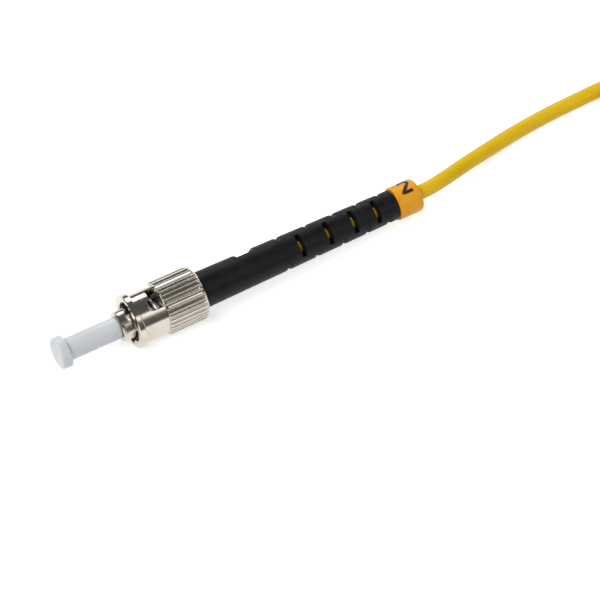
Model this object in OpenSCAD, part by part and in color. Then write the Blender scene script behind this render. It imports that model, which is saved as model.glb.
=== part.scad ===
// ST fibre connector with bayonet nut, strain relief boot, cord and far connector.
// Millimetres. Origin at the centre of the ferrule tip, +X to the rear, +Z up.

/* [Ferrule and dust cap] */
// ferrule diameter
ferrule_d = 2.5; // [2.3:0.05:2.6]
// how far the ferrule stands out of the barrel
ferrule_reach = 9.5; // [8.5:0.1:11]
// length of ferrule held in its holder
ferrule_seat = 4; // [3:0.1:4.3]
// bare fibre diameter
fibre_d = 0.125; // [0.1:0.025:0.2]
// outside diameter of the dust cap tube
cap_tube_d = 4; // [3.6:0.1:4.6]
// diameter of the dust cap head
cap_head_d = 5.75; // [5:0.05:6.6]
// length of the dust cap head
cap_head_len = 1.85; // [1.2:0.05:3]
// gap between the ferrule tip and the bottom of the cap
cap_tip_gap = 0.5; // [0.2:0.1:0.6]
// radial clearance of the cap on the ferrule
cap_fit = 0.03; // [0.01:0.01:0.08]

/* [Body] */
// barrel diameter
barrel_d = 5.6; // [5.2:0.1:6]
// barrel length
barrel_len = 5.2; // [5.1:0.1:5.4]
// height of the key above the barrel
key_rise = 0.65; // [0.4:0.05:0.8]
// width of the key
key_w = 1.9; // [1.4:0.1:2.4]
// length of the key
key_len = 2.4; // [1.6:0.1:3.2]
// inset of the key behind the barrel front
key_inset = 0.3; // [0.25:0.05:0.6]
// angle of the key about the axis
key_angle = 144; // [100:1:190]
// diameter of the stem behind the barrel
stem_d = 4.2; // [4:0.1:4.3]
// diameter of the post under the crimp sleeve
post_d = 3.6; // [3.4:0.1:3.7]
// length of the post under the crimp sleeve
post_len = 9; // [8:0.5:10]

/* [Coupling nut] */
// set back of the nut behind the barrel front
nut_set_back = 2.1; // [1.8:0.1:2.4]
// clearance between the key and the bore of the nut
key_fit = 0.15; // [0.1:0.05:0.3]
// wall of the bayonet sleeve
sleeve_wall = 0.85; // [0.7:0.05:1]
// height of the front flange above the sleeve
flange_rise = 0.55; // [0.5:0.05:0.7]
// thickness of the front flange
flange_t = 1.2; // [0.9:0.1:1.5]
// length of the sleeve between flange and grip
sleeve_len = 4.7; // [4.5:0.1:5]
// height of the grip above the sleeve
grip_rise = 0.45; // [0.4:0.05:0.5]
// length of the grip
grip_len = 7.9; // [7.5:0.1:8.5]
// number of grip flutes
flutes = 34; // [24:1:38]
// radius of a grip flute
flute_r = 0.32; // [0.25:0.01:0.36]
// radius of the rounded rear edge of the grip
grip_round = 1.2; // [0.8:0.1:1.2]
// width of a bayonet slot
slot_w = 2.05; // [1.8:0.05:2.3]
// wall left outside a bayonet slot
slot_skin = 0.25; // [0.2:0.05:0.35]
// angle of the first bayonet slot about the axis
slot_angle = 77; // [60:1:100]
// sweep of a bayonet window
window_sweep = 64; // [58:1:72]
// length of a bayonet window along the axis
window_len = 1.8; // [1.6:0.1:2.2]
// radius of the locking pocket
pocket_r = 1.05; // [0.95:0.05:1.2]

/* [Spring and rings] */
// diameter of the spring wire
wire_d = 0.7; // [0.5:0.05:0.7]
// mean diameter of the spring
spring_d = 5.1; // [5.05:0.05:5.3]
// turns of the spring
spring_turns = 4.25; // [3.5:0.25:4.25]
// thickness of the thrust washer
washer_t = 0.4; // [0.3:0.05:0.5]
// thickness of the retaining ring
clip_t = 0.55; // [0.4:0.05:0.6]
// outside diameter of the retaining ring
clip_d = 6.4; // [5.6:0.1:6.6]

/* [Crimp sleeve] */
// length of the crimp sleeve
sleeve_crimp_len = 15; // [14.5:0.5:16]
// wall of the crimp sleeve
crimp_wall = 0.35; // [0.3:0.05:0.4]
// thickness of the yarn under the crimp sleeve
yarn_t = 0.23; // [0.15:0.01:0.26]
// diameter of the buffered fibre
buffer_d = 0.9; // [0.8:0.1:1]

/* [Boot] */
// diameter of the boot at the nut
boot_front_d = 6.66; // [6.5:0.02:6.72]
// diameter of the boot at the marker ring
boot_rear_d = 5.56; // [5.2:0.02:5.8]
// length of the boot between nut and marker ring
boot_len = 39.8; // [39.4:0.2:42]
// width of a boot slot below its rounded lips
boot_slot_w = 0.95; // [0.85:0.05:1.1]
// width of a slot at its floor
slot_floor_w = 0.7; // [0.5:0.05:0.8]
// length of a slot across the boot
slot_span = 4.2; // [3.6:0.1:4.6]
// distance of a slot floor from the axis
slot_floor = 1.1; // [0.9:0.05:1.3]
// distance from the nut to the middle of the first slot
first_slot = 16.8; // [16.6:0.1:17.4]
// distance from the first slot to the second
slot_pitch = 3; // [2.9:0.05:3.05]
// how much each slot distance is less than the one before
slot_shrink = 0.115; // [0.1:0.005:0.13]
// rounding of a slot lip
slot_lip = 0.28; // [0.16:0.02:0.34]
// depth of the shallow recess
recess_depth = 0.5; // [0.3:0.05:0.6]
// length of the shallow recess
recess_len = 3.4; // [2.6:0.2:4]

/* [Marker ring] */
// diameter of the marker ring
ring_d = 6.2; // [6:0.05:6.6]
// length of the marker ring
ring_len = 4.8; // [4.2:0.1:5.6]
// diameter of the boot tail inside the ring
tail_d = 4.8; // [4.4:0.1:5]
// thickness of the rear wall of the ring
ring_wall = 1; // [0.8:0.1:1.2]

/* [Cord] */
// outside diameter of the cord
cord_d = 2.8; // [2.7:0.05:2.85]
// radial gap between the cord and the boot
cord_gap = 0.1; // [0.05:0.01:0.15]
// bore of the coiled cord
coil_bore_d = 19.6; // [18:0.2:22]
// width of the tie around the coil
tie_w = 4; // [3:0.5:6]
// thickness of the tie
tie_t = 0.4; // [0.3:0.05:0.5]

/* [Hidden] */
bond = 0.01;     // gap between bonded and crimped pieces
run = 0.05;      // running clearance
e = 1;           // overshoot of a cut

// stations along the axis, front to rear
barrel_x = ferrule_reach;
shoulder_x = barrel_x + barrel_len;
nut_x = barrel_x + nut_set_back;
sleeve_x = nut_x + flange_t;
grip_x = sleeve_x + sleeve_len;
window_x = grip_x - 0.1 - window_len;
nut_end = grip_x + grip_len;
rear_wall = 1.1;
counterbore = 2.9;
rear_wall_x = nut_end - counterbore - rear_wall;
clip_x = nut_end - counterbore + 2 * bond;
stem_end = clip_x + clip_t + 0.4;
post_end = stem_end + post_len;
jacket_x = post_end + 1;
crimp_x = stem_end + 0.5;
crimp_end = crimp_x + sleeve_crimp_len;
boot_x = crimp_x - 0.4;
ring_x = nut_end + boot_len;
ring_end = ring_x + ring_len;
holder_end = ferrule_reach + ferrule_seat + 1;
tube_end = holder_end + 7.5;
fibre_end = holder_end + 0.1;

// radii
ferrule_r = ferrule_d / 2;
holder_r = ferrule_r + 0.55;
tube_r = 0.75;
barrel_r = barrel_d / 2;
key_r = barrel_r + key_rise;
nut_bore_r = key_r + key_fit;
sleeve_r = nut_bore_r + sleeve_wall;
flange_r = sleeve_r + flange_rise;
grip_r = sleeve_r + grip_rise;
counterbore_r = grip_r - grip_round - 0.2;
stem_r = stem_d / 2;
post_r = post_d / 2;
clip_bore_r = stem_r - 0.38;
yarn_r = post_r + bond + yarn_t;
crimp_r = yarn_r + bond + crimp_wall;
crimp_rear_r = cord_d / 2 + bond + crimp_wall;
buffer_r = buffer_d / 2;
cord_r = cord_d / 2;
boot_bore_r = cord_r + cord_gap;

// the cord lies on the surface that the nut flange rests on
floor_z = -flange_r;
cord_drop = floor_z + cord_r;
turns_across = 4;
layers = 2;
coil_r = coil_bore_d / 2 + turns_across * cord_d;
outer_turn_r = coil_r - cord_r;
top_turn_z = floor_z + (layers - 0.5) * cord_d;

// cord points after the marker ring: along, across, share of the drop to the surface
cord_points = [
    [3.5, 0.2, 0.03], [7.5, 1.3, 0.22], [11.5, 2.7, 0.47], [16, 4.1, 0.72],
    [21, 5.4, 0.92], [26.5, 6.4, 1], [33.5, 7.1, 1], [40.5, 7.4, 1],
    [47.5, 7.6, 1], [54, 7.6, 1], [59.5, 7.6, 1]
];
cord_last = cord_points[len(cord_points) - 1];
cord_route = concat(
    [for (s = [0 : 4]) [jacket_x + (ring_end - jacket_x) * s / 4, 0, 0]],
    [for (p = cord_points) [ring_end + p.x, p.y, p.z * cord_drop]]
);
coil_x = ring_end + cord_last.x;
coil_y = cord_last.y - outer_turn_r;
tie_angle = 290;

// the far connector lies turned, a short lead behind the coil
far_turn = 18;
far_lead = 15;
far_x = coil_x + outer_turn_r * sin(far_turn) + (far_lead + ring_end) * cos(far_turn);
far_y = coil_y + outer_turn_r * cos(far_turn) - (far_lead + ring_end) * sin(far_turn);
far_route = concat(
    [for (s = [0 : 4]) [jacket_x + (ring_end - jacket_x) * s / 4, 0, 0]],
    [
        [ring_end + 4, 0, top_turn_z * 0.12],
        [ring_end + 9, 0, top_turn_z * 0.7],
        [ring_end + far_lead, 0, top_turn_z]
    ]
);

nickel = [0.72, 0.7, 0.66];
steel = [0.6, 0.61, 0.62];
ceramic = [0.93, 0.93, 0.9];
clear_plastic = [0.82, 0.83, 0.84];
glass = [0.85, 0.9, 0.92];
black_rubber = [0.05, 0.05, 0.06];
orange_plastic = [0.9, 0.6, 0.1];
yellow_jacket = [0.9, 0.72, 0.05];
aramid = [0.85, 0.75, 0.35];
white_plastic = [0.9, 0.9, 0.88];

$fn = 64;

// points of an arc in the profile plane
function arc(c, r, from, to, steps = 6) =
    [for (i = [0 : steps]) let (a = from + (to - from) * i / steps)
        [c.x + r * cos(a), c.y + r * sin(a)]];

// a profile of radius and station, turned about the axis
module turned(points, from = 0, sweep = 360) {
    rotate([0, 90, 0])
        rotate([0, 0, from + 90])
            rotate_extrude(angle = sweep)
                polygon(points);
}

// a cylinder along the axis between two stations
module rod(r, from, to) {
    translate([from, 0, 0])
        rotate([0, 90, 0])
            cylinder(h = to - from, r = r);
}

// a tube between two stations
function tube_profile(inner, outer, from, to) =
    [[inner, from], [outer, from], [outer, to], [inner, to]];

// an eight sided tube swept along a route
function heading(p, i) =
    let (d = p[min(i + 1, len(p) - 1)] - p[max(i - 1, 0)]) d / norm(d);
function rim(p, i, r) =
    let (t = heading(p, i), c = cross([0, 0, 1], t), s = c / norm(c), n = cross(t, s))
    [for (k = [0 : 7]) p[i] + r * (cos(45 * k) * s + sin(45 * k) * n)];

module swept(p, r) {
    last = 8 * (len(p) - 1);
    polyhedron(
        points = [for (i = [0 : len(p) - 1]) each rim(p, i, r)],
        faces = concat(
            [[for (k = [0 : 7]) k]],
            [for (i = [0 : 8 : last - 8]) for (k = [0 : 7]) let (m = (k + 1) % 8)
                each [[i + m, i + k, i + k + 8], [i + m, i + k + 8, i + m + 8]]],
            [[for (k = [7 : -1 : 0]) last + k]]
        )
    );
}

// places a far piece
module far() {
    translate([far_x, far_y, 0])
        rotate([0, 0, 180 - far_turn])
            children();
}

module dust_cap() {
    head_r = cap_head_d / 2;
    tube_r = cap_tube_d / 2;
    bore = ferrule_r + cap_fit;
    front = -cap_tip_gap - cap_head_len;
    rear = barrel_x - 2 * bond;
    color(clear_plastic)
        turned(concat(
            [[0, front]],
            arc([head_r - 0.4, front + 0.4], 0.4, -90, 0),
            arc([head_r - 0.2, -cap_tip_gap - 0.2], 0.2, 0, 90, 3),
            [
                [tube_r, -cap_tip_gap], [tube_r, rear - 0.12], [tube_r - 0.12, rear],
                [bore + 0.2, rear], [bore, rear - 0.2], [bore, -cap_tip_gap],
                [0, -cap_tip_gap]
            ]
        ));
}

module ferrule() {
    end = ferrule_reach + ferrule_seat;
    bore = fibre_d / 2 + bond;
    color(ceramic)
        turned([
            [bore, 0], [ferrule_r - 0.3, 0], [ferrule_r, 0.5], [ferrule_r, end],
            [buffer_r, end], [bore, end - 1]
        ]);
}

module optical_fibre() {
    color(glass)
        rod(fibre_d / 2, 0, fibre_end);
}

module ferrule_holder() {
    cup = ferrule_r + bond;
    bore = buffer_r + bond;
    seat = ferrule_reach + ferrule_seat + bond;
    color(nickel)
        turned([
            [cup, barrel_x], [holder_r, barrel_x], [holder_r, holder_end],
            [tube_r, holder_end], [tube_r, tube_end], [bore, tube_end],
            [bore, seat], [cup, seat]
        ]);
}

module connector_body() {
    bore = tube_r + bond;
    socket = holder_r + bond;
    groove = clip_x - bond;
    color(nickel) {
        turned(concat(
            [
                [socket, barrel_x], [barrel_r - 0.2, barrel_x], [barrel_r, barrel_x + 0.2],
                [barrel_r, shoulder_x], [stem_r, shoulder_x], [stem_r, groove],
                [clip_bore_r - bond, groove],
                [clip_bore_r - bond, clip_x + clip_t + bond],
                [stem_r, clip_x + clip_t + bond], [stem_r, stem_end], [post_r, stem_end]
            ],
            [for (x = [stem_end + 1 : 1 : post_end - 1])
                each [[post_r, x], [post_r - 0.15, x + 0.2], [post_r - 0.15, x + 0.4],
                    [post_r, x + 0.6]]],
            [
                [post_r, post_end], [bore, post_end], [bore, holder_end + bond],
                [socket, holder_end + bond]
            ]
        ));
        rotate([key_angle, 0, 0])
            intersection() {
                rod(key_r, barrel_x + key_inset, barrel_x + key_len);
                translate([barrel_x, barrel_r - 0.3, -key_w / 2])
                    cube([key_len, key_rise + 1, key_w]);
            }
    }
}

// a closed coil of round wire between the shoulder and the washer
module coupling_spring() {
    wire = wire_d / 2;
    front = shoulder_x + wire + bond;
    rear = rear_wall_x - washer_t - wire - 2 * bond;
    steps = 20;
    count = round(spring_turns * steps);
    slope = atan((rear - front) / (spring_turns * PI * spring_d));
    points = [for (i = [0 : count]) for (k = [0 : 7])
        let (a = 360 * i / steps, b = 45 * k, r = spring_d / 2 + wire * cos(b))
        let (across = wire * sin(b))
        [
            front + (rear - front) * i / count + across * cos(slope),
            r * cos(a) + across * sin(slope) * sin(a),
            r * sin(a) - across * sin(slope) * cos(a)
        ]];
    last = 8 * count;
    color(steel)
        polyhedron(
            points = points,
            faces = concat(
                [[for (k = [7 : -1 : 0]) k]],
                [for (i = [0 : 8 : last - 8]) for (k = [0 : 7]) let (m = (k + 1) % 8)
                    each [[i + k, i + m, i + k + 8], [i + m, i + m + 8, i + k + 8]]],
                [[for (k = [0 : 7]) last + k]]
            )
        );
}

module thrust_washer() {
    end = rear_wall_x - bond;
    color(steel)
        turned(tube_profile(stem_r + run, nut_bore_r - 0.2, end - washer_t, end));
}

// a groove in the bore from the front to the window
module bayonet_cut() {
    end = window_x + window_len / 2;
    intersection() {
        rod(sleeve_r - slot_skin, nut_x - e, end);
        translate([nut_x - e, nut_bore_r - 0.6, -slot_w / 2])
            cube([end - nut_x + e, sleeve_r, slot_w]);
    }
}

module bayonet_window() {
    from = slot_angle - 14;
    inner = nut_bore_r - 0.3;
    outer = sleeve_r + 0.2;
    end = window_x + window_len;
    turned(tube_profile(inner, outer, window_x, end), from, window_sweep);
    rotate([from + window_sweep - 14, 0, 0])
        translate([window_x - 0.05, inner, 0])
            rotate([-90, 0, 0])
                cylinder(h = outer - inner, r = pocket_r);
}

module coupling_nut() {
    bore = stem_r + run;
    color(nickel)
        difference() {
            turned(concat(
                [
                    [nut_bore_r + 0.2, nut_x], [flange_r - 0.15, nut_x],
                    [flange_r, nut_x + 0.15], [flange_r, sleeve_x - 0.15],
                    [flange_r - 0.15, sleeve_x], [sleeve_r, sleeve_x], [sleeve_r, grip_x]
                ],
                arc([grip_r - 0.3, grip_x + 0.3], 0.3, -90, 0, 4),
                arc([grip_r - grip_round, nut_end - grip_round], grip_round, 0, 90, 8),
                [
                    [counterbore_r, nut_end], [counterbore_r, nut_end - counterbore],
                    [bore, nut_end - counterbore], [bore, rear_wall_x],
                    [nut_bore_r, rear_wall_x], [nut_bore_r, nut_x + 0.2]
                ]
            ));
            for (i = [0 : flutes - 1])
                rotate([i * 360 / flutes, 0, 0])
                    translate([0, grip_r + 0.05, 0])
                        rod(flute_r, grip_x - 0.2, nut_end + e, $fn = 16);
            for (turn = [0, 180])
                rotate([turn, 0, 0]) {
                    rotate([slot_angle, 0, 0])
                        bayonet_cut();
                    bayonet_window();
                }
        }
}

module retaining_ring() {
    color(steel)
        difference() {
            turned(tube_profile(clip_bore_r, clip_d / 2, clip_x, clip_x + clip_t));
            translate([clip_x - e, 0, -0.8])
                cube([clip_t + 2 * e, clip_d, 1.6]);
        }
}

module crimp_sleeve() {
    bore = yarn_r + bond;
    rear_bore = cord_r + bond;
    color(nickel)
        turned([
            [bore, crimp_x], [crimp_r, crimp_x], [crimp_r, post_end + 0.4],
            [crimp_rear_r, jacket_x + 1], [crimp_rear_r, crimp_end],
            [rear_bore, crimp_end], [rear_bore, jacket_x + 1], [bore, post_end + 0.4]
        ]);
}

module aramid_yarn() {
    inner = post_r + bond;
    color(aramid)
        turned([
            [inner, crimp_x + 0.2], [yarn_r, crimp_x + 0.2], [yarn_r, post_end + 0.2],
            [cord_r, jacket_x - bond], [buffer_r + 0.2, jacket_x - bond],
            [inner, post_end + 0.1]
        ]);
}

module fibre_buffer() {
    color(white_plastic)
        rod(buffer_r, fibre_end + bond, jacket_x - bond);
}

function boot_r(x) =
    (boot_front_d + (boot_rear_d - boot_front_d) * (x - nut_end) / boot_len) / 2;

// a slot on each side, narrower at its floor and with rounded lips
module boot_slot(x) {
    r = boot_r(x);
    half = boot_slot_w / 2;
    for (turn = [0, 180])
        rotate([turn, 0, 0])
            translate([x, 0, -slot_span / 2])
                linear_extrude(height = slot_span)
                    polygon(concat(
                        [[-slot_floor_w / 2, slot_floor], [slot_floor_w / 2, slot_floor]],
                        arc([half + slot_lip, r - slot_lip], slot_lip, 180, 90, 4),
                        [[half + slot_lip, r + e], [-half - slot_lip, r + e]],
                        arc([-half - slot_lip, r - slot_lip], slot_lip, 90, 0, 4)
                    ));
}

module boot() {
    bore = crimp_r + bond;
    rear_bore = crimp_rear_r + bond;
    front_r = boot_front_d / 2;
    rear_r = boot_rear_d / 2;
    tail_end = ring_end - ring_wall - bond;
    recess_x = nut_end + 8.4;
    floor_y = boot_r(recess_x + recess_len / 2) - recess_depth;
    color(black_rubber)
        difference() {
            turned([
                [bore, boot_x], [front_r - 0.2, boot_x], [front_r, boot_x + 0.2],
                [front_r, nut_end], [rear_r, ring_x - 0.2], [rear_r - 0.2, ring_x - bond],
                [tail_d / 2, ring_x - bond], [tail_d / 2, tail_end],
                [boot_bore_r, tail_end], [boot_bore_r, crimp_end + bond],
                [rear_bore, crimp_end + bond], [rear_bore, jacket_x + 1],
                [bore, post_end + 0.4]
            ]);
            for (j = [0 : 8])
                rotate([j % 2 == 0 ? 36.7 : 126.7, 0, 0])
                    boot_slot(nut_end + first_slot + j * slot_pitch
                        - slot_shrink * j * (j - 1) / 2);
            rotate([36.7, 0, 0])
                translate([0, 0, -5])
                    linear_extrude(height = 10)
                        polygon([
                            [recess_x, floor_y], [recess_x + recess_len, floor_y],
                            [recess_x + recess_len + 0.5, floor_y + 1],
                            [recess_x - 0.5, floor_y + 1]
                        ]);
        }
}

module marker_ring() {
    r = ring_d / 2;
    inner = tail_d / 2 + bond;
    color(orange_plastic)
        turned(concat(
            [[inner, ring_x], [r - 0.15, ring_x], [r, ring_x + 0.15]],
            arc([r - 0.45, ring_end - 0.45], 0.45, 0, 90, 5),
            [
                [boot_bore_r, ring_end], [boot_bore_r, ring_end - ring_wall],
                [inner, ring_end - ring_wall]
            ]
        ));
}

module cord_run() {
    color(yellow_jacket)
        swept(cord_route, cord_r);
}

module cord_coil() {
    color(yellow_jacket)
        translate([coil_x, coil_y, floor_z])
            rotate_extrude()
                translate([coil_bore_d / 2, 0])
                    square([turns_across * cord_d, layers * cord_d]);
}

module coil_tie() {
    w = turns_across * cord_d;
    h = layers * cord_d;
    color(white_plastic)
        translate([coil_x, coil_y, floor_z])
            rotate([0, 0, tie_angle])
                translate([coil_bore_d / 2, tie_w / 2, 0])
                    rotate([90, 0, 0])
                        linear_extrude(height = tie_w)
                            difference() {
                                polygon(concat(
                                    arc([w + tie_t - 0.8, 0.8], 0.8, -90, 0, 4),
                                    arc([w + tie_t - 0.8, h + tie_t - 0.8], 0.8, 0, 90, 4),
                                    arc([0.8 - tie_t, h + tie_t - 0.8], 0.8, 90, 180, 4),
                                    arc([0.8 - tie_t, 0.8], 0.8, 180, 270, 4)
                                ));
                                translate([0, tie_t])
                                    square([w, h - tie_t]);
                            }
}

module cord_far_run() {
    color(yellow_jacket)
        far()
            swept(far_route, cord_r);
}

// the same pieces on the far connector
module far_dust_cap() {
    far()
        dust_cap();
}

module far_ferrule() {
    far()
        ferrule();
}

module far_optical_fibre() {
    far()
        optical_fibre();
}

module far_ferrule_holder() {
    far()
        ferrule_holder();
}

module far_connector_body() {
    far()
        connector_body();
}

module far_coupling_spring() {
    far()
        coupling_spring();
}

module far_thrust_washer() {
    far()
        thrust_washer();
}

module far_coupling_nut() {
    far()
        coupling_nut();
}

module far_retaining_ring() {
    far()
        retaining_ring();
}

module far_crimp_sleeve() {
    far()
        crimp_sleeve();
}

module far_aramid_yarn() {
    far()
        aramid_yarn();
}

module far_fibre_buffer() {
    far()
        fibre_buffer();
}

module far_boot() {
    far()
        boot();
}

module far_marker_ring() {
    far()
        marker_ring();
}

dust_cap();
ferrule();
optical_fibre();
ferrule_holder();
connector_body();
coupling_spring();
thrust_washer();
coupling_nut();
retaining_ring();
crimp_sleeve();
aramid_yarn();
fibre_buffer();
boot();
marker_ring();
cord_run();
cord_coil();
coil_tie();
cord_far_run();
far_dust_cap();
far_ferrule();
far_optical_fibre();
far_ferrule_holder();
far_connector_body();
far_coupling_spring();
far_thrust_washer();
far_coupling_nut();
far_retaining_ring();
far_crimp_sleeve();
far_aramid_yarn();
far_fibre_buffer();
far_boot();
far_marker_ring();
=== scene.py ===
"""ST fibre connector on its cord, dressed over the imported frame.

The ferrule tip is at the origin and +X goes to the rear. Sizes are in millimetres until MM scales them.
"""

import math

import bpy
from mathutils import Matrix, Vector


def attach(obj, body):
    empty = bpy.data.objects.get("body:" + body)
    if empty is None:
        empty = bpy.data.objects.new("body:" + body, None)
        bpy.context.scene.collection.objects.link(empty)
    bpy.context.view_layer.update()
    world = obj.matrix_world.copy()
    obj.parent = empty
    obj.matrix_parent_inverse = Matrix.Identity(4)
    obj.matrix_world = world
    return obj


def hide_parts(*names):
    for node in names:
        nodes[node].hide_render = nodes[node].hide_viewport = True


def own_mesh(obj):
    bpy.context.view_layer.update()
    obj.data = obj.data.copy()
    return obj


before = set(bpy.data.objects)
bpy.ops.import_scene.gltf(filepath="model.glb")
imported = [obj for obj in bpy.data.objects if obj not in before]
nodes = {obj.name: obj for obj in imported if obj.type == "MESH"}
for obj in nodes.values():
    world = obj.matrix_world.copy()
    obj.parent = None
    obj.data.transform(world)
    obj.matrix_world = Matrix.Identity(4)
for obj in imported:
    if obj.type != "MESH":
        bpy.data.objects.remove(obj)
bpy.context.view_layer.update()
MM = 0.001
TAU = 2 * math.pi

# ---------------------------------------------------------------- camera
scene = bpy.context.scene
scene.view_settings.view_transform = "Standard"
AZ, EL = math.radians(-30.54), math.radians(50.29)
right = Vector((math.cos(AZ), math.sin(AZ), 0))
back = Vector((math.sin(AZ) * math.cos(EL), -math.cos(AZ) * math.cos(EL), math.sin(EL)))
up = back.cross(right)
cam = bpy.data.cameras.new("camera")
cam.sensor_width = 36
cam.lens = 156.76
cam.clip_start, cam.clip_end = 0.01, 20
cam_o = bpy.data.objects.new("camera", cam)
turn = Matrix((right, up, back)).transposed().to_4x4()
cam_o.matrix_world = Matrix.Translation((-0.10754, -0.26008, 0.34865)) @ turn
scene.collection.objects.link(cam_o)
scene.camera = cam_o

# ---------------------------------------------------------------- sizes, mm
CORD_R = 1.4
FLOOR_Z = -5.0
LOW = FLOOR_Z + CORD_R
HIGH = LOW + 2 * CORD_R
RING_END = 70.0
OUTER_TURN = 19.6
COIL = Vector((129.5, -12.0, 0.0))
FAR_TURN = math.radians(18)
FAR_LEAD = 15.0
leave = COIL + OUTER_TURN * Vector((math.sin(FAR_TURN), math.cos(FAR_TURN), 0))
along = Vector((math.cos(FAR_TURN), -math.sin(FAR_TURN), 0))
FAR = Matrix.Translation((leave + along * (FAR_LEAD + RING_END)) * MM) @ Matrix.Rotation(
    math.pi - FAR_TURN, 4, "Z"
)


def link(o):
    scene.collection.objects.link(o)
    return o


def smooth(t):
    t = min(max(t, 0), 1)
    return t * t * (3 - 2 * t)


# ---------------------------------------------------------------- cord
def through(points, step):
    """Points of one smooth curve through the given ones, about a step apart, without the last."""
    p = [Vector(q) for q in points]
    p = [2 * p[0] - p[1]] + p + [2 * p[-1] - p[-2]]
    out = []
    for a, b, c, d in zip(p, p[1:], p[2:], p[3:]):
        n = max(1, round((c - b).length / step))
        for i in range(n):
            t = i / n
            out.append(
                0.5
                * (
                    2 * b
                    + (c - a) * t
                    + (2 * a - 5 * b + 4 * c - d) * t * t
                    + (3 * b - a - 3 * c + d) * t**3
                )
            )
    return out


run = [
    (40.5, 0, 0), (48, 0, 0), (55, 0, 0), (62, 0, 0), (70, 0, 0),
    (73.5, 0.2, 0.03 * LOW), (77.5, 1.3, 0.22 * LOW), (81.5, 2.7, 0.47 * LOW),
    (86, 4.1, 0.72 * LOW), (91, 5.4, 0.92 * LOW), (96.5, 6.4, LOW),
    (103.5, 7.1, LOW), (110.5, 7.4, LOW), (117.5, 7.6, LOW), (124, 7.6, LOW),
    (129.5, 7.6, LOW),
]


def wound():
    """Four turns inward on the surface, a climb, then outward on top of them."""
    turn, shift, step = 360, 60, 6

    def moved(k):
        return smooth((degree - turn * k + shift) / shift)

    points = []
    for degree in range(step, 7 * turn + round(math.degrees(FAR_TURN)), step):
        inward = moved(1) + moved(2) + moved(3)
        outward = moved(5) + moved(6) + moved(7)
        climb = moved(4)
        r = OUTER_TURN - 2 * CORD_R * (inward - outward)
        a = math.radians(90 - degree)
        points.append(
            COIL + Vector((r * math.cos(a), r * math.sin(a), LOW + 2 * CORD_R * climb))
        )
    return points


leaving = [
    (RING_END + FAR_LEAD, 0, HIGH), (79, 0, 0.7 * HIGH), (74, 0, 0.12 * HIGH), (70, 0, 0),
    (62, 0, 0), (55, 0, 0), (48, 0, 0), (40.5, 0, 0),
]
far_mm = Matrix.Scale(1000, 4) @ FAR @ Matrix.Scale(0.001, 4)
leaving = [far_mm @ Vector(p) for p in leaving]
SPACING = 2.2
route = through(run, SPACING) + [Vector(run[-1])] + wound() + through(leaving, SPACING)
route.append(leaving[-1])

curve = bpy.data.curves.new("cord", "CURVE")
curve.dimensions = "3D"
curve.bevel_depth = 1
curve.bevel_resolution = 6
curve.use_fill_caps = True
spline = curve.splines.new("POLY")
spline.points.add(len(route) - 1)
for point, p in zip(spline.points, route):
    point.co = (*(p * MM), 1)
    point.radius = CORD_R * MM
cord = link(bpy.data.objects.new("cord", curve))
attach(cord, "connector")
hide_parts("cord_run", "cord_coil", "cord_far_run")
length = sum((b - a).length for a, b in zip(route, route[1:])) * MM
print("cord length", length)


# ---------------------------------------------------------------- pieces
def solid(name, points, faces, far=False):
    """A smooth mesh object from points in millimetres, moved to the far connector if asked."""
    mesh = bpy.data.meshes.new(name)
    mesh.from_pydata([Vector(p) * MM for p in points], [], faces)
    if far:
        mesh.transform(FAR)
    for face in mesh.polygons:
        face.use_smooth = True
    mesh.set_sharp_from_angle(angle=math.radians(40))
    return link(bpy.data.objects.new(name, mesh))


# ---------------------------------------------------------------- spring
SHOULDER = 14.7
WASHER_FRONT = 20.98
WIRE_R = 0.35
SPRING_R = 2.55
SPRING_TURNS = 4.25
GAP = 0.01


def spring(name, far=False):
    """Round wire with one close turn at each end, against the shoulder and the washer."""
    first = SHOULDER + WIRE_R + GAP
    last = WASHER_FRONT - WIRE_R - GAP
    close = 2.1 * WIRE_R
    steps = 32
    sides = 14
    count = round(SPRING_TURNS * steps)
    points = []
    for i in range(count + 1):
        t = i / steps
        middle = min(max((t - 1) / (SPRING_TURNS - 2), 0), 1)
        x = first + close * (min(t, 1) + max(t - SPRING_TURNS + 1, 0))
        x += (last - first - 2 * close) * middle
        a = TAU * t
        for k in range(sides):
            b = TAU * k / sides
            r = SPRING_R + WIRE_R * math.cos(b)
            points.append((x + WIRE_R * math.sin(b), r * math.cos(a), r * math.sin(a)))
    faces = [list(range(sides))[::-1]]
    for i in range(0, count * sides, sides):
        for k in range(sides):
            m = (k + 1) % sides
            faces.append((i + k, i + m, i + m + sides, i + k + sides))
    faces.append([count * sides + k for k in range(sides)])
    return solid(name, points, faces, far)


# ---------------------------------------------------------------- printed digit
RING_R = 3.1
DIGIT_X = 67.75
DIGIT_TURN = 82
INK = 0.025
STROKE = 0.32
BOWL_W = 0.86
BOWL_H = 0.74
BOWL_UP = 0.72
FOOT = -1.38
FOOT_FROM = -0.96
FOOT_LEN = 1.95


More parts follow.
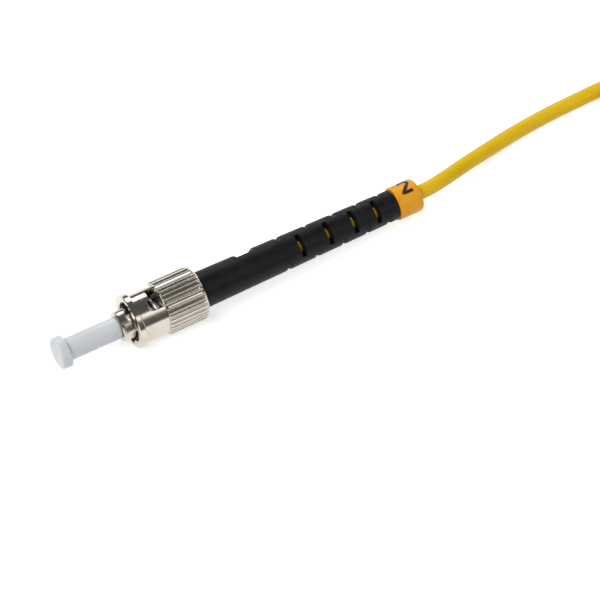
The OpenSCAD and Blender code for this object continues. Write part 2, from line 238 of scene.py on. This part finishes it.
def digit(name, far=False):
    """A raised 2 that reads to the rear, round the marker ring."""
    line = []
    for degree in range(160, -41, -10):
        a = math.radians(degree)
        line.append((BOWL_W * math.cos(a), BOWL_UP + BOWL_H * math.sin(a)))
    u0, v0 = line[-1]
    for step in range(1, 9):
        t = step / 8
        line.append((u0 + (FOOT_FROM - u0) * t, v0 + (FOOT - v0) * t))
    corner = len(line) - 1
    for step in range(1, 9):
        line.append((FOOT_FROM + FOOT_LEN * step / 8, FOOT))
    points = []
    section = [(s / 3, RING_R + INK) for s in range(3, -4, -1)]
    section += [(s / 3, RING_R - INK) for s in range(-3, 4)]
    sides = len(section)
    for i, (u, v) in enumerate(line):
        before = line[max(i - 1, 0)]
        after = line[min(i + 1, len(line) - 1)]
        du = after[0] - before[0]
        dv = after[1] - before[1]
        n = math.hypot(du, dv)
        wide = STROKE * (1.25 if i == corner else 1)
        for side, r in section:
            across = u - side * wide * dv / n
            height = v + side * wide * du / n
            a = math.radians(DIGIT_TURN) - height / RING_R
            points.append((DIGIT_X + across, r * math.cos(a), r * math.sin(a)))
    last = sides * (len(line) - 1)
    faces = [list(range(sides))]
    for i in range(0, last, sides):
        for k in range(sides):
            m = (k + 1) % sides
            faces.append((i + k, i + k + sides, i + m + sides, i + m))
    faces.append([last + k for k in range(sides)][::-1])
    return solid(name, points, faces, far)


# ---------------------------------------------------------------- strap
TIE_ANGLE = math.radians(290)
TIE_W = 4.0
TIE_T = 0.4
STRAP_EDGE = 0.12


def strap(name):
    """A woven strap pulled round four turns below and three on top, with its end lapped over."""
    inner = OUTER_TURN - 6 * CORD_R
    corners = [
        (inner, LOW, 180, 270), (OUTER_TURN, LOW, 270, 405),
        (OUTER_TURN - 2 * CORD_R, HIGH, 45, 90), (inner, HIGH, 90, 180),
    ]
    loop = []
    for r, z, start, end in corners:
        for i in range(10):
            a = math.radians(start + (end - start) * i / 9)
            loop.append((r, z, math.cos(a), math.sin(a)))
    half = TIE_W / 2
    edge = STRAP_EDGE
    section = [
        (-half, edge), (edge - half, 0), (0, 0), (half - edge, 0),
        (half, edge), (half, TIE_T - edge), (half - edge, TIE_T), (0, TIE_T),
        (edge - half, TIE_T), (-half, TIE_T - edge),
    ]
    n = len(section)
    out = Vector((math.cos(TIE_ANGLE), math.sin(TIE_ANGLE), 0))
    side = Vector((-math.sin(TIE_ANGLE), math.cos(TIE_ANGLE), 0))
    points = []
    faces = []

    def sweep(line, lift, closed):
        first = len(points)
        for r, z, nr, nz in line:
            for across, h in section:
                reach = CORD_R + h + lift
                height = max(z + nz * reach, FLOOR_Z + TIE_T - h)
                points.append(COIL + out * (r + nr * reach) + side * across + Vector((0, 0, height)))
        for i in range(len(line) if closed else len(line) - 1):
            a = first + i * n
            b = first + (i + 1) % len(line) * n
            for k in range(n):
                m = (k + 1) % n
                faces.append((a + k, b + k, b + m, a + m))
        if not closed:
            end = first + (len(line) - 1) * n
            faces.append([first + k for k in range(n)])
            faces.append([end + k for k in range(n)][::-1])

    sweep(loop, 0, True)
    sweep(loop[18:32], TIE_T + 0.02, False)
    return solid(name, points, faces)


hook_strap = strap("hook_strap")
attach(hook_strap, "connector")
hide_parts("coil_tie")
springs = [spring("coil_spring"), spring("far_coil_spring", True)]
digits = [digit("ring_digit"), digit("far_ring_digit", True)]
for o in springs + digits:
    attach(o, "connector")
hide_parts("coupling_spring")
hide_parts("far_coupling_spring")

# ---------------------------------------------------------------- floor and light
floor_mesh = bpy.data.meshes.new("floor")
floor_mesh.from_pydata(
    [(x, y, FLOOR_Z * MM) for x, y in ((-3, -3), (3, -3), (3, 3), (-3, 3))],
    [],
    [(0, 1, 2, 3)],
)
floor = link(bpy.data.objects.new("floor", floor_mesh))


def area(name, place, size, power, aim=(0.04, 0, 0)):
    light = bpy.data.lights.new(name, "AREA")
    light.shape = "RECTANGLE"
    light.size, light.size_y = size
    light.energy = power
    o = link(bpy.data.objects.new(name, light))
    o.location = place
    o.rotation_euler = (Vector(aim) - o.location).to_track_quat("-Z", "Y").to_euler()


area("key", (-0.5, -0.1, 0.9), (0.9, 0.5), 8.5)
area("fill", (0.6, -0.7, 0.7), (0.6, 0.8), 2.6)
area("rim", (0.2, 0.9, 0.6), (1.0, 0.4), 4.5)

world = bpy.data.worlds.new("world")
scene.world = world
world.use_nodes = True
world.node_tree.nodes["Background"].inputs["Color"].default_value = (0.12, 0.12, 0.12, 1)
world.node_tree.nodes["Background"].inputs["Strength"].default_value = 1.0


# ---------------------------------------------------------------- materials
class Mat:
    """A material with short calls for its nodes."""

    def __init__(self, name, **values):
        self.m = bpy.data.materials.new(name)
        self.m.use_nodes = True
        self.t = self.m.node_tree
        self.b = self.t.nodes["Principled BSDF"]
        for key, value in values.items():
            self.b.inputs[key.replace("_", " ")].default_value = value

    def node(self, kind, **values):
        n = self.t.nodes.new(kind)
        for key, value in values.items():
            if key in n.inputs:
                n.inputs[key].default_value = value
            else:
                setattr(n, key, value)
        return n

    def wire(self, a, b):
        self.t.links.new(a, b)

    def where(self, scale=(1, 1, 1)):
        c = self.node("ShaderNodeTexCoord")
        m = self.node("ShaderNodeMapping")
        m.inputs["Scale"].default_value = scale
        self.wire(c.outputs["Object"], m.inputs["Vector"])
        return m.outputs["Vector"]

    def noise(self, scale, detail=3.0, stretch=(1, 1, 1)):
        n = self.node("ShaderNodeTexNoise", Scale=scale, Detail=detail)
        self.wire(self.where(stretch), n.inputs["Vector"])
        return n.outputs["Fac"]

    def spread(self, fac, low, high, socket, a=0.35, b=0.65):
        r = self.node("ShaderNodeValToRGB")
        e = r.color_ramp.elements
        e[0].position, e[1].position = a, b
        e[0].color = (*low, 1) if isinstance(low, tuple) else (low, low, low, 1)
        e[1].color = (*high, 1) if isinstance(high, tuple) else (high, high, high, 1)
        self.wire(fac, r.inputs["Fac"])
        self.wire(r.outputs["Color"], self.b.inputs[socket])

    def bump(self, fac, distance, strength=0.5):
        n = self.node("ShaderNodeBump", Strength=strength, Distance=distance)
        self.wire(fac, n.inputs["Height"])
        self.wire(n.outputs["Normal"], self.b.inputs["Normal"])


def nickel(name, low, high, rough):
    m = Mat(name, Metallic=1.0)
    m.spread(m.noise(260), low, high, "Base Color")
    m.spread(m.noise(900, stretch=(6, 1, 1)), rough - 0.02, rough + 0.03, "Roughness")
    m.bump(m.noise(1800, stretch=(6, 1, 1)), 0.000003, 0.15)
    return m.m


nut_nickel = nickel("nut_nickel", (0.54, 0.50, 0.435), (0.60, 0.56, 0.49), 0.15)
turned_nickel = nickel("turned_nickel", (0.48, 0.45, 0.39), (0.55, 0.515, 0.45), 0.2)
steel = nickel("spring_steel", (0.5, 0.5, 0.5), (0.6, 0.6, 0.6), 0.28)

m = Mat("ceramic", Roughness=0.12, Coat_Weight=0.4)
m.spread(m.noise(800), (0.86, 0.86, 0.83), (0.9, 0.9, 0.87), "Base Color")
ceramic = m.m

m = Mat("fibre_glass", Roughness=0.05, Transmission_Weight=0.9)
m.spread(m.noise(2000), (0.8, 0.86, 0.88), (0.9, 0.94, 0.95), "Base Color")
fibre_glass = m.m

m = Mat("boot_rubber", Specular_IOR_Level=0.16)
m.spread(m.noise(350), (0.006, 0.006, 0.008), (0.010, 0.010, 0.012), "Base Color")
m.spread(m.noise(700), 0.42, 0.52, "Roughness")
m.bump(m.noise(5000, 2), 0.00002, 0.3)
rubber = m.m

m = Mat("ring_plastic", Specular_IOR_Level=0.3)
m.spread(m.noise(300), (0.82, 0.345, 0.006), (0.87, 0.385, 0.010), "Base Color")
m.spread(m.noise(900), 0.32, 0.4, "Roughness")
m.bump(m.noise(4000, 2), 0.00001, 0.2)
ring_plastic = m.m

m = Mat("cord_jacket", Specular_IOR_Level=0.3)
m.spread(m.noise(260, stretch=(0.3, 1, 1)), (0.78, 0.49, 0.002), (0.84, 0.55, 0.005), "Base Color")
m.spread(m.noise(900), 0.36, 0.46, "Roughness")
m.bump(m.noise(3500, 2), 0.00001, 0.2)
jacket = m.m

m = Mat("cap_plastic", Subsurface_Weight=0.6, Subsurface_Scale=0.001, Transmission_Weight=0.15)
m.b.inputs["Subsurface Radius"].default_value = (1, 1, 1)
m.spread(m.noise(220), (0.71, 0.73, 0.76), (0.77, 0.79, 0.82), "Base Color")
m.spread(m.noise(700), 0.32, 0.4, "Roughness")
m.bump(m.noise(2500, 2), 0.00001, 0.15)
cap_plastic = m.m

m = Mat("aramid_yarn", Roughness=0.7)
m.spread(m.noise(900, stretch=(0.1, 1, 1)), (0.6, 0.42, 0.1), (0.8, 0.62, 0.2), "Base Color")
m.bump(m.noise(4000, stretch=(0.05, 1, 1)), 0.00003, 0.6)
yarn = m.m

m = Mat("buffer_plastic", Roughness=0.4)
m.spread(m.noise(400), (0.78, 0.78, 0.76), (0.84, 0.84, 0.82), "Base Color")
buffer = m.m

m = Mat("tie_weave", Roughness=0.85, Specular_IOR_Level=0.2)
m.spread(m.noise(3000, stretch=(1, 1, 0.4)), (0.01, 0.01, 0.012), (0.03, 0.03, 0.035), "Base Color")
m.bump(m.noise(4000), 0.00004, 0.5)
weave = m.m

m = Mat("digit_ink", Roughness=0.5)
m.spread(m.noise(2500), (0.012, 0.009, 0.008), (0.03, 0.022, 0.015), "Base Color", 0.3, 0.7)
ink = m.m

m = Mat("floor", Roughness=0.9)
m.spread(m.noise(3), (0.86, 0.86, 0.86), (0.88, 0.88, 0.88), "Base Color")
m.b.inputs["Specular IOR Level"].default_value = 0.1
rays = m.node("ShaderNodeLightPath")
seen = rays.outputs["Is Camera Ray"]
for kind in ("Is Glossy Ray", "Is Transmission Ray"):
    most = m.node("ShaderNodeMath", operation="MAXIMUM")
    m.wire(seen, most.inputs[0])
    m.wire(rays.outputs[kind], most.inputs[1])
    seen = most.outputs[0]
glow = m.node("ShaderNodeMath", operation="MULTIPLY")
glow.inputs[1].default_value = 0.55
m.wire(seen, glow.inputs[0])
m.b.inputs["Emission Color"].default_value = (1, 1, 1, 1)
m.wire(glow.outputs[0], m.b.inputs["Emission Strength"])
floor_mesh.materials.append(m.m)

cord.data.materials.append(jacket)
for o in springs:
    o.data.materials.append(steel)
for o in digits:
    o.data.materials.append(ink)
hook_strap.data.materials.append(weave)
PLAIN = {
    "dust_cap": cap_plastic, "ferrule": ceramic, "optical_fibre": fibre_glass,
    "ferrule_holder": turned_nickel, "connector_body": turned_nickel,
    "coupling_spring": steel, "thrust_washer": steel, "coupling_nut": nut_nickel,
    "retaining_ring": steel, "crimp_sleeve": turned_nickel, "aramid_yarn": yarn,
    "fibre_buffer": buffer, "boot": rubber, "marker_ring": ring_plastic,
}
for name, o in nodes.items():
    material = PLAIN.get(name.removeprefix("far_"))
    if material:
        for s in o.material_slots:
            s.material = material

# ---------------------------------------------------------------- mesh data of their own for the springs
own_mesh(springs[0])
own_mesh(springs[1])

bpy.context.view_layer.update()
